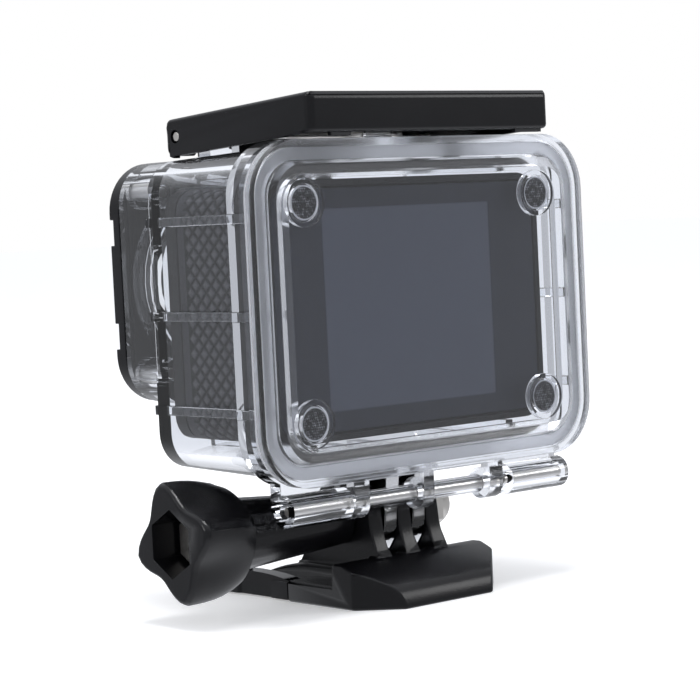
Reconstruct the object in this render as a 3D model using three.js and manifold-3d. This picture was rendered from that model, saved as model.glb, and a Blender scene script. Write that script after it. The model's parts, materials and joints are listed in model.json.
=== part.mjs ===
// An action camera in its clear diving case, on a three-pronged quick-release mount.
// Millimetres, +Z up. The lens faces -Y and the screen faces +Y. The world's origin lies on the
// buckle's flat underside, straight below the thumb screw's axis.

import * as THREE from 'three';
import { mergeVertices } from 'three/addons/utils/BufferGeometryUtils.js';
import Module from 'manifold-3d';

const wasm = await Module();
wasm.setup();

// ---- driving dimensions ----

const gap = 0.3; // clearance kept between neighbouring pieces

// camera
const cameraWidth = 59.2;
const cameraHeight = 41.1;
const cameraDepth = 22.8;
const cameraCorner = 4.5;
const cameraWall = 1.5;
const rearCoverDepth = 3;
const frontCoverDepth = 2.7;
const screenThickness = 0.9;
const lcdBeside = 11.6; // width of the dark border at each side of the display
const lcdAbove = 4.65;
const lcdThickness = 1.4;
const lensRadius = 11.6;
const lensFromSide = 5; // from the camera's side to the barrel
const lensFromTop = 3.75;
const lensReach = 6.8; // how far the barrel stands out of the front cover
const lensGlassRadius = 7.6;
const boardThickness = 1.2;
const batteryThickness = 9.4;
const batteryWidth = 34;
const batteryFromSide = 5.6;

// case
const caseWall = 2;
const caseDraft = 0.9; // how much the top and bottom close in from the flange to the front
const caseSideDraft = 0.1;
const caseCorner = 6;
const roomCorner = 4;
const roomBeside = 0.6; // free space at each side of the camera, and in front of it
const roomAbove = 2.8; // free space over and under the camera, taken up by rails
const flangeOverhang = 3; // how far the flange stands out past the side walls
const flangeOverTop = 0.9;
const flangeThickness = 3.1;
const flangeCorner = 9;
const seamGap = 1.2; // between the flange and the door, taken up by the gasket
const doorRim = 2.6;
const windowRise = 1; // how far the window stands out of the door's border
const windowSlope = 1.6;
const windowThickness = 2.4;
const windowOverCamera = 0.75; // how far the window reaches past the camera, above and below
const windowCorner = 4;
const ribWidth = 1.5;
const ribHeight = 0.8;
const ribSpacing = 15;

// lens port on the case's front
const portDepth = 7.6; // how far the clear skirt stands out of the front wall
const portRoom = 3; // how much wider the port's glass is than the lens barrel
const portWall = 1.8;
const portLedge = 1.6; // the step that the glass rests on
const plateThickness = 2.6;
const plateCorner = 8;
const notchSpread = 8.5; // from the plate's middle up and down to its grip notches
const portGlassThickness = 2;
const plateScrewInset = 5;
const screwRadius = 0.9;
const screwHeadRadius = 1.9;
const screwDepth = 5;
const postRadius = 2.6;

// door hinge
const hingeRadius = 2.6;
const hingePinRadius = 0.8;
const hingeDrop = 3.5; // from the door's lower edge down to the hinge's axis
const hingeInset = 5.3; // from the door's side to the hinge's end

// latch
const latchInset = 6.5; // from the case's side to the latch's end
const latchHeight = 6.2;
const latchWall = 1.2;
const latchCorner = 1.2;
const latchSlope = THREE.MathUtils.degToRad(3.2);
const latchPinRadius = 0.8;
const latchPinRise = 3.9; // from the case's top up to the latch's pin
const latchNose = 2.8; // how far the lever reaches in front of its pin
const latchLip = 1.5; // how far the lever's lip stands behind the window
const latchLugRadius = 1.7;
const latchLugWidth = 6;
const latchLugX = 17;

// mount
const axisHeight = 13.2; // the thumb screw's axis above the buckle's underside
const tabDrop = 8.8; // from the case's underside down to that axis
const seamBehindAxis = 13.4;
const prongRadius = 7.5;
const prongPitch = 6.2;
const prongThickness = 2.9;
const boltRadius = 2.5;
const buckleWidth = 31;
const buckleRearY = 17.6;
const buckleFrontY = -23.9;
const gripLength = 11;
const gripHeight = 7.2;
const gripCorner = 6;
const gripCrease = 3.9; // height of the crease between the rear face and the top
const gripLean = 1.8;
const railHeight = 3;
const knobRadius = 9.8;
const knobLength = 12.4;
const knobBeyondCase = 9.7; // how far the knob's face stands out past the case's side
const knobTurn = THREE.MathUtils.degToRad(16);
const scallopDepth = 0.32; // share of the radius
const knobSides = 48;
const sleeveThick = 5.9;
const sleeveThin = 4.3;
const hexFlats = 9.4;
const hexDepth = 8;
const nutFlats = 8;
const nutHexLength = 4;

// push buttons
const buttonTravel = 0.9;
const cameraButtonTravel = 0.6;
const plungerRadius = 1.9;
const plungerCapRadius = 3.5;
const plungerCapHeight = 1.6;
const bossRadius = 4.5;
const bossHeight = 2.2;
const springRadius = 2.75;
const springWire = 0.2;
const springTurns = 3;
const springPocket = 2;
const shutterFromSide = 12.6;
const powerFromSide = 10.6;
const powerZ = 8;
const sideButtonZ = 7.5;
const cameraButtonRadius = 3;
const cameraButtonRise = 0.2;

// ---- derived dimensions ----

const lensX = cameraWidth / 2 - lensRadius - lensFromSide;
const lensZ = cameraHeight / 2 - lensRadius - lensFromTop;
const lcdWidth = cameraWidth - 2 * lcdBeside;
const lcdHeight = cameraHeight - 2 * lcdAbove;
const windowWidth = cameraWidth;
const windowHeight = cameraHeight + 2 * windowOverCamera;
const caseInnerWidth = cameraWidth + 2 * roomBeside;
const caseInnerHeight = cameraHeight + 2 * roomAbove;
const caseWidth = caseInnerWidth + 2 * (caseWall + caseSideDraft);
const caseHeight = caseInnerHeight + 2 * (caseWall + caseDraft / 2);
const doorWidth = caseWidth + 2 * flangeOverhang;
const doorHeight = caseHeight + 2 * flangeOverTop;
const flangeBackY = -seamGap / 2;
const flangeFrontY = flangeBackY - flangeThickness;
const doorFrontY = seamGap / 2;
const doorBorderY = doorFrontY + doorRim;
const windowY = doorBorderY + windowRise;
const padThickness = 1.4;
const padRoom = 2.7; // free space between the pads and the camera's screen
const cameraRearY = windowY - windowThickness - padThickness - 2 * gap - padRoom;
const caseFrontInnerY = cameraRearY - cameraDepth - roomBeside;
const caseFrontY = caseFrontInnerY - caseWall;
const skirtFrontY = caseFrontY - portDepth;
const hingeZ = -doorHeight / 2 - hingeDrop;
const hingeHalfLength = doorWidth / 2 - hingeInset;
const caseTopFront = caseHeight / 2 - caseDraft;
const caseRise = caseHeight / 2 + tabDrop;
const portRadius = lensRadius + portRoom;
const plateWidth = caseWidth - 2 * lensX;
const plateHeight = 2 * (caseTopFront - lensZ);
const latchWidth = caseWidth - 2 * latchInset;
const knobFaceX = caseWidth / 2 + knobBeyondCase;
const latchPinY = caseFrontY - 0.2;
const latchPinZ = caseTopFront + latchPinRise;
const latchReach = windowY + latchLip - latchPinY;
const boltHole = boltRadius + gap;
const plungerBore = plungerRadius + gap;
const shutterX = shutterFromSide - cameraWidth / 2;
const shutterY = (caseFrontY + flangeFrontY) / 2 - 2;
const powerX = powerFromSide - cameraWidth / 2;
const sideButtonY = (caseFrontY + flangeFrontY) / 2;
const shutterTopZ = caseTopFront + caseDraft / 2;
const sideReach = (caseWidth - cameraWidth) / 2;

// ---- solids ----

const arcSteps = 6; // flats in a quarter of a round corner
const fineSides = 36;
const plainSides = 20;
const smallSides = 12;

function solidOf(geometry) {
  const bare = geometry.clone();
  bare.deleteAttribute('normal');
  bare.deleteAttribute('uv');
  const welded = mergeVertices(bare, 1e-4);
  const mesh = new wasm.Mesh({
    numProp: 3,
    vertProperties: new Float32Array(welded.attributes.position.array),
    triVerts: new Uint32Array(welded.index.array),
  });
  return new wasm.Manifold(mesh);
}

function geometryOf(solid) {
  const mesh = solid.getMesh();
  const geometry = new THREE.BufferGeometry();
  geometry.setAttribute('position', new THREE.BufferAttribute(new Float32Array(mesh.vertProperties), 3));
  geometry.setIndex(new THREE.BufferAttribute(new Uint32Array(mesh.triVerts), 1));
  geometry.computeVertexNormals();
  return geometry;
}

const joined = (...solids) => solids.reduce((whole, piece) => whole.add(piece));
const without = (solid, ...cuts) => cuts.reduce((left, cut) => left.subtract(cut), solid);

// A box from its lowest to its highest corner.
function block(low, high) {
  const size = high.map((value, axis) => value - low[axis]);
  const middle = high.map((value, axis) => (value + low[axis]) / 2);
  return solidOf(new THREE.BoxGeometry(...size).translate(...middle));
}

// A rounded rectangle as a shape, or as a hole's path.
function roundedRectangle(width, height, corner, middleX = 0, middleY = 0, Kind = THREE.Shape) {
  const outline = new Kind();
  const x = width / 2 - corner;
  const y = height / 2 - corner;
  outline.absarc(middleX + x, middleY - y, corner, -Math.PI / 2, 0);
  outline.absarc(middleX + x, middleY + y, corner, 0, Math.PI / 2);
  outline.absarc(middleX - x, middleY + y, corner, Math.PI / 2, Math.PI);
  outline.absarc(middleX - x, middleY - y, corner, Math.PI, 1.5 * Math.PI);
  outline.closePath();
  return outline;
}

// A shape drawn in X and Z, made solid from one Y to a higher one. It can close in by `taper` at its -Y end.
function alongY(shape, fromY, toY, taper = 0, curveSegments = arcSteps) {
  const depth = toY - fromY;
  const geometry = new THREE.ExtrudeGeometry(shape, { depth, bevelEnabled: false, curveSegments });
  if (taper) {
    const place = geometry.attributes.position;
    for (let i = 0; i < place.count; i += 1) {
      const share = place.getZ(i) / depth;
      place.setX(i, place.getX(i) - Math.sign(place.getX(i)) * taper * share * 0.2);
      place.setY(i, place.getY(i) - Math.sign(place.getY(i)) * taper * share);
    }
  }
  return solidOf(geometry.rotateX(Math.PI / 2).translate(0, toY, 0));
}

// A shape drawn in Y and Z, made solid from one X to a higher one.
function alongX(shape, fromX, toX, curveSegments = arcSteps) {
  const geometry = new THREE.ExtrudeGeometry(shape, { depth: toX - fromX, bevelEnabled: false, curveSegments });
  geometry.rotateX(Math.PI / 2).rotateZ(Math.PI / 2);
  return solidOf(geometry.translate(fromX, 0, 0));
}

// A shape drawn in X and Y, made solid from one Z to a higher one.
function alongZ(shape, fromZ, toZ, curveSegments = arcSteps) {
  const geometry = new THREE.ExtrudeGeometry(shape, { depth: toZ - fromZ, bevelEnabled: false, curveSegments });
  return solidOf(geometry.translate(0, 0, fromZ));
}

const turnTo = {
  x: (geometry) => geometry.rotateZ(-Math.PI / 2),
  y: (geometry) => geometry,
  z: (geometry) => geometry.rotateX(Math.PI / 2),
};

// A round bar along x, y or z, between two places on that axis.
function bar(axis, radius, from, to, centre = [0, 0, 0], sides = plainSides, endRadius = radius) {
  const geometry = turnTo[axis](new THREE.CylinderGeometry(endRadius, radius, to - from, sides));
  const place = [...centre];
  place['xyz'.indexOf(axis)] = (from + to) / 2;
  return solidOf(geometry.translate(...place));
}

// A body of revolution: [radius, height] pairs, turned about +Z.
function turned(profile, sides) {
  const points = profile.map(([radius, height]) => new THREE.Vector2(radius, height));
  return solidOf(new THREE.LatheGeometry(points, sides).rotateX(Math.PI / 2));
}

// The same solid put in the way of another axis: `facing` says where its +Z now points.
const facings = {
  up: new THREE.Matrix4(),
  down: new THREE.Matrix4().makeRotationX(Math.PI),
  front: new THREE.Matrix4().makeRotationX(Math.PI / 2),
  left: new THREE.Matrix4().makeRotationY(-Math.PI / 2),
  right: new THREE.Matrix4().makeRotationY(Math.PI / 2),
};

function placed(solid, facing, place) {
  const geometry = geometryOf(solid);
  geometry.applyMatrix4(facings[facing]);
  return solidOf(geometry.translate(...place));
}

// ---- finishes ----

const finishes = {
  clear: { color: 0xdfe3ea, roughness: 0.06, metalness: 0 },
  black: { color: 0x17181b, roughness: 0.45, metalness: 0 },
  rubber: { color: 0x1b1b1d, roughness: 0.8, metalness: 0 },
  steel: { color: 0xb9bbbf, roughness: 0.28, metalness: 1 },
  shell: { color: 0x2b2c31, roughness: 0.6, metalness: 0 },
  glass: { color: 0x1d2026, roughness: 0.05, metalness: 0 },
  screen: { color: 0x585c68, roughness: 0.3, metalness: 0 },
  board: { color: 0x1f5a3a, roughness: 0.5, metalness: 0 },
  battery: { color: 0x2f5fa8, roughness: 0.5, metalness: 0 },
};

function part(name, solid, finish, group) {
  const mesh = new THREE.Mesh(geometryOf(solid), new THREE.MeshStandardMaterial(finishes[finish]));
  mesh.name = name;
  group.add(mesh);
}

// ---- push buttons of the case: +Z is outwards and 0 is the outer face of the wall ----

const topReach = shutterTopZ - cameraHeight / 2;
const plungerSpots = [
  { name: 'shutter', facing: 'up', place: [shutterX, shutterY, shutterTopZ], reach: topReach },
  { name: 'power', facing: 'front', place: [powerX, caseFrontY, powerZ], reach: caseWall + roomBeside },
  { name: 'up', facing: 'left', place: [-caseWidth / 2, sideButtonY, sideButtonZ], reach: sideReach },
  { name: 'down', facing: 'left', place: [-caseWidth / 2, sideButtonY, -sideButtonZ], reach: sideReach },
];

const capBottom = bossHeight + buttonTravel + gap;

const plungerBoss = () => bar('z', bossRadius, -caseWall / 2, bossHeight);

function plungerHole(reach) {
  const bore = bar('z', plungerBore, -reach - 0.5, bossHeight + 1);
  const pocket = bar('z', springRadius + springWire + gap, bossHeight - springPocket, bossHeight + 1);
  return bore.add(pocket);
}

// The seal's groove lies in the stem, inside the bore.
const grooveTop = 0.4;
const grooveBottom = -0.8;
const grooveRadius = plungerRadius - 0.75;
const sealHalfHeight = (grooveTop - grooveBottom) / 2 - gap;

// The stem's tip stands off the camera's button by the clearance and by the travel that the button lacks.
function plunger(spot) {
  const tip = -spot.reach + cameraButtonRise + gap + buttonTravel - cameraButtonTravel;
  const profile = [
    [0, tip],
    [plungerRadius - 0.3, tip],
    [plungerRadius, tip + 0.3],
    [plungerRadius, grooveBottom],
    [grooveRadius, grooveBottom],
    [grooveRadius, grooveTop],
    [plungerRadius, grooveTop],
    [plungerRadius, capBottom],
    [plungerCapRadius, capBottom],
    [plungerCapRadius, capBottom + plungerCapHeight - 0.5],
    [plungerCapRadius - 0.5, capBottom + plungerCapHeight],
    [0, capBottom + plungerCapHeight],
  ];
  return turned(profile, plainSides);
}

// The seal lies in the groove and reaches nearly to the bore.
function plungerSeal() {
  const middle = (grooveTop + grooveBottom) / 2;
  const ring = bar('z', plungerBore - gap / 2, middle - sealHalfHeight, middle + sealHalfHeight);
  return ring.subtract(bar('z', grooveRadius + gap / 2, grooveBottom, grooveTop));
}

// A coil spring of round wire.
function coilSpring(bottom, top) {
  class Helix extends THREE.Curve {
    getPoint(share, target = new THREE.Vector3()) {
      const angle = share * springTurns * 2 * Math.PI;
      const height = bottom + springWire + share * (top - bottom - 2 * springWire);
      return target.set(springRadius * Math.cos(angle), springRadius * Math.sin(angle), height);
    }
  }
  const wire = new THREE.Shape().absarc(0, 0, springWire, 0, 2 * Math.PI);
  const steps = springTurns * smallSides;
  return solidOf(new THREE.ExtrudeGeometry(wire, { steps, extrudePath: new Helix(), curveSegments: 3 }));
}

// ---- the case's clear body ----

function caseShell() {
  const outer = alongY(roundedRectangle(caseWidth, caseHeight, caseCorner), caseFrontY, flangeBackY, caseDraft);
  const flange = alongY(roundedRectangle(doorWidth, doorHeight, flangeCorner), flangeFrontY, flangeBackY);
  const roomOutline = roundedRectangle(caseInnerWidth, caseInnerHeight, roomCorner);
  const room = alongY(roomOutline, caseFrontInnerY, 1, caseDraft / 2);
  return outer.add(flange).subtract(room);
}

// Rails over and under the camera keep it off the case's walls.
function cameraRails() {
  const railX = cameraWidth / 2 - 8;
  const railHalf = 0.8;
  const fromY = caseFrontInnerY - 0.5;
  const toY = flangeFrontY;
  const near = cameraHeight / 2 + gap;
  const far = caseInnerHeight / 2 + 0.4;
  const rails = [];
  for (const x of [-railX, railX]) {
    rails.push(block([x - railHalf, fromY, -far], [x + railHalf, toY, -near]));
    rails.push(block([x - railHalf, fromY, near], [x + railHalf, toY, far]));
  }
  return joined(...rails);
}

function sideRibs() {
  const ribs = [];
  for (const side of [-1, 1]) {
    for (const z of [-ribSpacing, 0, ribSpacing]) {
      const near = side * (caseWidth / 2 - 0.6);
      const far = side * (caseWidth / 2 + ribHeight);
      const low = [Math.min(near, far), caseFrontY + 0.6, z - ribWidth / 2];
      const high = [Math.max(near, far), flangeFrontY + 0.5, z + ribWidth / 2];
      ribs.push(block(low, high));
    }
  }
  return joined(...ribs);
}

const plateScrewSpots = [-1, 1].flatMap((sideX) => [-1, 1].map((sideZ) => [
  lensX + sideX * (plateWidth / 2 - plateScrewInset),
  lensZ + sideZ * (plateHeight / 2 - plateScrewInset),
]));

// The clear skirt in front: an open-fronted wall around the lens port's tube, with four screw posts.
function portSkirt() {
  const skirtCorner = plateCorner - 1;
  const outline = roundedRectangle(plateWidth, plateHeight, skirtCorner, lensX, lensZ);
  const inner = roundedRectangle(
    plateWidth - 2 * portWall, plateHeight - 2 * portWall, skirtCorner - portWall, lensX, lensZ,
  );
  const rootY = caseFrontY + 0.5;
  const skirt = alongY(outline, skirtFrontY, rootY).subtract(alongY(inner, skirtFrontY - 1, caseFrontY));
  const tube = bar('y', portRadius + portWall, skirtFrontY, rootY, [lensX, 0, lensZ], fineSides);
  const posts = plateScrewSpots.map(([x, z]) => bar('y', postRadius, skirtFrontY, rootY, [x, 0, z]));
  return joined(skirt, tube, ...posts);
}

function portCuts() {
  const centre = [lensX, 0, lensZ];
  const glassSeat = portGlassThickness + 2 * gap;
  const opening = bar('y', portRadius - portLedge, skirtFrontY - 1, caseFrontInnerY + 1, centre, fineSides);
  const seat = bar('y', portRadius + gap, skirtFrontY - 1, skirtFrontY + glassSeat, centre, fineSides);
  const holes = plateScrewSpots.map(([x, z]) => bar(
    'y', screwRadius + gap, skirtFrontY - 1, skirtFrontY + screwDepth + gap, [x, 0, z], smallSides,
  ));
  return joined(opening, seat, ...holes);
}

// A hinge knuckle about the door hinge's axis, with a web up to the edge that it hangs from.
function knuckle(fromX, toX, webFromY, webToY) {
  const round = bar('x', hingeRadius, fromX, toX, [0, 0, hingeZ]);
  const web = block([fromX, webFromY, hingeZ], [toX, webToY, -doorHeight / 2 + 0.8]);
  return round.add(web);
}

const caseKnuckles = [[-hingeHalfLength, -17], [18, hingeHalfLength]];
const doorKnuckles = [[-14.5, -11.5], [0.9, 3.1], [14.7, 17.7]];

function latchLugs() {
  const lugs = [];
  for (const side of [-1, 1]) {
    const fromX = side * latchLugX - latchLugWidth / 2;
    const toX = side * latchLugX + latchLugWidth / 2;
    lugs.push(bar('x', latchLugRadius, fromX, toX, [0, latchPinY, latchPinZ]));
    lugs.push(block(
      [fromX, latchPinY - latchLugRadius, caseTopFront - 1],
      [toX, latchPinY + latchLugRadius, latchPinZ],
    ));
  }
  return joined(...lugs);
}

// A mount ear: a round end about the thumb screw's axis, with straight sides up or down to what carries it.
function earOutline(radius, centreY, centreZ, rootY1, rootY2, rootZ) {
  const outline = new THREE.Shape();
  const up = rootZ > centreZ;
  outline.moveTo(rootY2, rootZ);
  outline.lineTo(centreY + radius, centreZ);
  outline.absarc(centreY, centreZ, radius, 0, up ? -Math.PI : Math.PI, up);
  outline.lineTo(rootY1, rootZ);
  outline.closePath();
  return outline;
}

function caseTabs() {
  const thickness = prongPitch - prongThickness - 2 * gap;
  const outline = earOutline(
    prongRadius, -seamBehindAxis, -caseRise,
    -seamBehindAxis - prongRadius - 2, -seamBehindAxis + prongRadius + 1.5, -caseHeight / 2 + 1.6,
  );
  const tabs = [-1, 1].map((side) => {
    const middle = side * prongPitch / 2;
    return alongX(outline, middle - thickness / 2, middle + thickness / 2);
  });
  const hole = bar('x', boltHole, -20, 20, [0, -seamBehindAxis, -caseRise]);
  return joined(...tabs).subtract(hole);
}

function caseBody() {
  const bosses = plungerSpots.map((spot) => placed(plungerBoss(), spot.facing, spot.place));
  const holes = plungerSpots.map((spot) => placed(plungerHole(spot.reach), spot.facing, spot.place));
  const knuckles = caseKnuckles.map(([from, to]) => knuckle(from, to, flangeFrontY + 0.6, flangeBackY));
  const fixtures = [cameraRails(), sideRibs(), portSkirt(), latchLugs(), caseTabs()];
  const body = joined(caseShell(), ...fixtures, ...bosses, ...knuckles);
  const hingeBore = bar('x', hingePinRadius + gap, -hingeHalfLength - 1, hingeHalfLength + 1, [0, 0, hingeZ]);
  const latchBore = bar('x', latchPinRadius + gap, -latchWidth / 2, latchWidth / 2, [0, latchPinY, latchPinZ]);
  return without(body, portCuts(), ...holes, hingeBore, latchBore);
}

// ---- lens port ----

function frontPlate() {
  const backY = skirtFrontY - gap;
  const frontY = backY - plateThickness;
  const outline = roundedRectangle(plateWidth, plateHeight, plateCorner, lensX, lensZ);
  const plate = alongY(outline, frontY, backY);
  const centre = [lensX, 0, lensZ];
  const mouth = portRadius - portLedge;
  const opening = bar('y', mouth, frontY - 1, backY + 1, centre, fineSides);
  const cone = bar('y', portRadius + portLedge, frontY - 0.01, frontY + 1.4, centre, fineSides, mouth);
  const holes = plateScrewSpots.flatMap(([x, z]) => [
    bar('y', screwRadius + gap, frontY - 1, backY + 1, [x, 0, z], smallSides),
    bar('y', screwHeadRadius + gap, frontY - 1, frontY + 1.3, [x, 0, z]),
  ]);
  // grip notches in the plate's two upright edges
  const notchHalf = 2.1;
  const notchDepth = 0.9;
  const notches = [];
  for (const side of [-1, 1]) {
    for (const z of [-notchSpread, notchSpread]) {
      const edge = lensX + side * plateWidth / 2;
      const middle = lensZ + z;
      notches.push(block(
        [edge - notchDepth, frontY - 1, middle - notchHalf],
        [edge + notchDepth, frontY + notchDepth, middle + notchHalf],
      ));
    }
  }
  return without(plate, opening, cone, ...holes, ...notches);
}

function plateScrew([x, z]) {
  const frontY = skirtFrontY - gap - plateThickness;
  const head = bar('y', screwHeadRadius, frontY + 0.2, frontY + 1, [x, 0, z]);
  const shank = bar('y', screwRadius, frontY + 0.9, skirtFrontY + screwDepth, [x, 0, z], smallSides);
  const arms = [[1.1, 0.2], [0.2, 1.1]].map(([halfX, halfZ]) => block(
    [x - halfX, frontY, z - halfZ],
    [x + halfX, frontY + 0.6, z + halfZ],
  ));
  return without(head.add(shank), ...arms);
}

function portGlass() {
  return bar('y', portRadius, skirtFrontY, skirtFrontY + portGlassThickness, [lensX, 0, lensZ], fineSides);
}

// The seal lies behind the glass in the tube's seat.
function portSeal() {
  const seatEnd = skirtFrontY + portGlassThickness + 2 * gap;
  const ring = bar('y', portRadius - 2, seatEnd - gap + 0.05, seatEnd + 0.6, [lensX, 0, lensZ], fineSides);
  return ring.subtract(bar('y', portRadius - 3, seatEnd - 1, seatEnd + 1, [lensX, 0, lensZ], fineSides));
}

// ---- door ----

const padSpots = [-1, 1].flatMap((sideX) => [-1, 1].map((sideZ) => [
  sideX * (windowWidth / 2 - 4.57),
  sideZ * (windowHeight / 2 - 4.33),
]));
const padRadius = 2.7;
const padRingRadius = 3.8;

function windowBump() {
  const core = 0.01; // the extrusion's straight part, between its two sloped ones
  const geometry = new THREE.ExtrudeGeometry(roundedRectangle(windowWidth, windowHeight, windowCorner), {
    depth: core,
    bevelEnabled: true,
    bevelThickness: windowRise,
    bevelSize: windowSlope,
    bevelSegments: 1,
    curveSegments: arcSteps,
  });
  geometry.rotateX(-Math.PI / 2);
  const low = block(
    [-doorWidth, windowY - 2 * windowRise - core, -doorHeight],
    [doorWidth, windowY - windowRise, doorHeight],
  );
  return solidOf(geometry.translate(0, windowY - windowRise - core, 0)).subtract(low);
}

const gasketInset = 1.2;
const gasketWidth = 2;
const gasketSeat = 0.8;
const gasketCorner = flangeCorner - gasketInset;

function gasketRing(extra, fromY, toY) {
  const outer = roundedRectangle(
    doorWidth - 2 * (gasketInset - extra), doorHeight - 2 * (gasketInset - extra), gasketCorner + extra,
  );
  const inner = roundedRectangle(
    doorWidth - 2 * (gasketInset + gasketWidth + extra), doorHeight - 2 * (gasketInset + gasketWidth + extra),
    gasketCorner - gasketWidth - extra,
  );
  return alongY(outer, fromY, toY).subtract(alongY(inner, fromY - 1, toY + 1));
}

function caseDoor() {
  const border = alongY(roundedRectangle(doorWidth, doorHeight, flangeCorner), doorFrontY, doorBorderY);
  const wellOutline = roundedRectangle(windowWidth - 1, windowHeight - 1, windowCorner);
  const well = alongY(wellOutline, doorFrontY - 1, windowY - windowThickness);
  const rings = padSpots.map(([x, z]) => {
    const fromY = windowY - windowThickness - 1;
    const ring = bar('y', padRingRadius, fromY, windowY - 1, [x, 0, z], fineSides);
    return ring.subtract(bar('y', padRadius + gap, fromY - 1, windowY - windowThickness, [x, 0, z]));
  });
  const knuckles = doorKnuckles.map(([from, to]) => knuckle(from, to, doorFrontY, doorFrontY + 2));
  const hingeBore = bar('x', hingePinRadius + gap, -hingeHalfLength, hingeHalfLength, [0, 0, hingeZ]);
  const gasketGroove = gasketRing(gap, doorFrontY - 1, doorFrontY + gasketSeat);
  const plate = without(border.add(windowBump()), well, gasketGroove);
  return joined(plate, ...rings, ...knuckles).subtract(hingeBore);
}

// The gasket lies in the door's groove and fills the seam, with the clearance on every side.
const doorGasket = () => gasketRing(0, flangeBackY + gap, doorFrontY + gasketSeat - gap);

function doorPad([x, z]) {
  const frontY = windowY - windowThickness - padThickness;
  return bar('y', padRadius, frontY, windowY - windowThickness - gap, [x, 0, z]);
}

function hingePin() {
  const half = hingeHalfLength - 0.6;
  return bar('x', hingePinRadius, -half, half, [0, 0, hingeZ], smallSides);
}

// ---- latch: its own origin is the latch's pin ----

// The lever seen from the side, grown inwards by `wall`.
function leverOutline(wall) {
  const rise = Math.tan(latchSlope);
  const topAt = (y) => latchPinRise - 1 + (y + latchNose) * rise - wall;
  const bottomAt = (y) => topAt(y) + wall - latchHeight;
  const frontY = -latchNose + wall;
  const rearY = latchReach - wall;
  const turn = latchPinRise - gap - 0.1;
  const outline = new THREE.Shape();
  if (wall) {
    outline.moveTo(frontY, -latchHeight);
    outline.lineTo(rearY, -latchHeight);
    outline.lineTo(rearY, topAt(rearY));
    outline.lineTo(frontY, topAt(frontY));
  } else {
    const underY = -0.35;
    outline.moveTo(underY, bottomAt(0));
    outline.lineTo(rearY, bottomAt(rearY));
    outline.lineTo(rearY, topAt(rearY) - 0.5);
    outline.lineTo(rearY - 0.5, topAt(rearY));
    outline.lineTo(frontY + 1.6, topAt(frontY));
    outline.quadraticCurveTo(frontY, topAt(frontY), frontY, topAt(frontY) - 1.6);
    outline.lineTo(frontY, -Math.sqrt(turn ** 2 - latchNose ** 2));
    outline.absarc(0, 0, turn, Math.PI + Math.acos(latchNose / turn), 1.5 * Math.PI - 0.12, false);
  }
  outline.closePath();
  return outline;
}

function latchLever() {
  const half = latchWidth / 2;
  const length = latchReach + latchNose;
  const plan = roundedRectangle(latchWidth, length, latchCorner, 0, latchReach - length / 2);
  const tray = alongX(leverOutline(0), -half, half).intersect(alongZ(plan, -2 * latchHeight, 2 * latchHeight));
  const hollow = alongX(leverOutline(latchWall), -half + latchWall, half - latchWall);
  const lugRooms = [-1, 1].map((side) => {
    const halfWidth = latchLugWidth / 2 + gap;
    const fromX = side * latchLugX - halfWidth;
    const toX = side * latchLugX + halfWidth;
    const round = bar('x', latchLugRadius + gap, fromX, toX);
    const reach = latchLugRadius + gap;
    const under = block([fromX, -latchNose - 1, -latchHeight], [toX, reach, reach]);
    return round.add(under);
  });
  const bore = bar('x', latchPinRadius + gap, -half - 1, half + 1);
  const buttonHole = bar('z', plungerCapRadius + 1.1, -latchHeight, 2 * latchHeight, [
    shutterX, shutterY - latchPinY, 0,
  ]);
  const lipBottom = caseTopFront + latchPinRise - doorHeight / 2;
  const hooks = [[-half + 1, -half + 7], [half - 9, half - 5]].map(([fromX, toX]) => block(
    [fromX, latchReach - latchWall - 0.6, -lipBottom + gap],
    [toX, latchReach - latchWall + 0.2, 0],
  ));
  return without(tray, hollow, ...lugRooms, bore, buttonHole).add(joined(...hooks));
}

function latchPin() {
  const half = latchWidth / 2 - 0.2;
  return bar('x', latchPinRadius, -half, half, [0, 0, 0], smallSides);
}

// ---- camera: its own origin is the middle of its rear face, and it reaches towards -Y ----

const frameRearY = -rearCoverDepth - gap;
const frameFrontY = -cameraDepth + frontCoverDepth + gap;
const screenInset = 1.1;

function rearCover() {
  const cover = alongY(roundedRectangle(cameraWidth, cameraHeight, cameraCorner), -rearCoverDepth, 0);
  const recess = alongY(
    roundedRectangle(cameraWidth - 2 * screenInset, cameraHeight - 2 * screenInset, cameraCorner - screenInset),
    -screenThickness - gap, 1,
  );
  const opening = block(
    [-lcdWidth / 2 - gap, -cameraDepth, -lcdHeight / 2 - gap],
    [lcdWidth / 2 + gap, 1, lcdHeight / 2 + gap],
  );
  return without(cover, recess, opening);
}

function screenGlass() {
  const inset = screenInset + gap;
  const outline = roundedRectangle(cameraWidth - 2 * inset, cameraHeight - 2 * inset, cameraCorner - inset);
  return alongY(outline, -screenThickness, 0);
}

function lcdPanel() {
  const rearY = -screenThickness - gap;
  return block([-lcdWidth / 2, rearY - lcdThickness, -lcdHeight / 2], [lcdWidth / 2, rearY, lcdHeight / 2]);
}

const batteryFrontY = frameRearY - 3 - batteryThickness;
const batteryDoorHalf = batteryWidth / 2 - 3;
const batteryX = batteryFromSide + batteryWidth / 2 - cameraWidth / 2;

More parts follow.
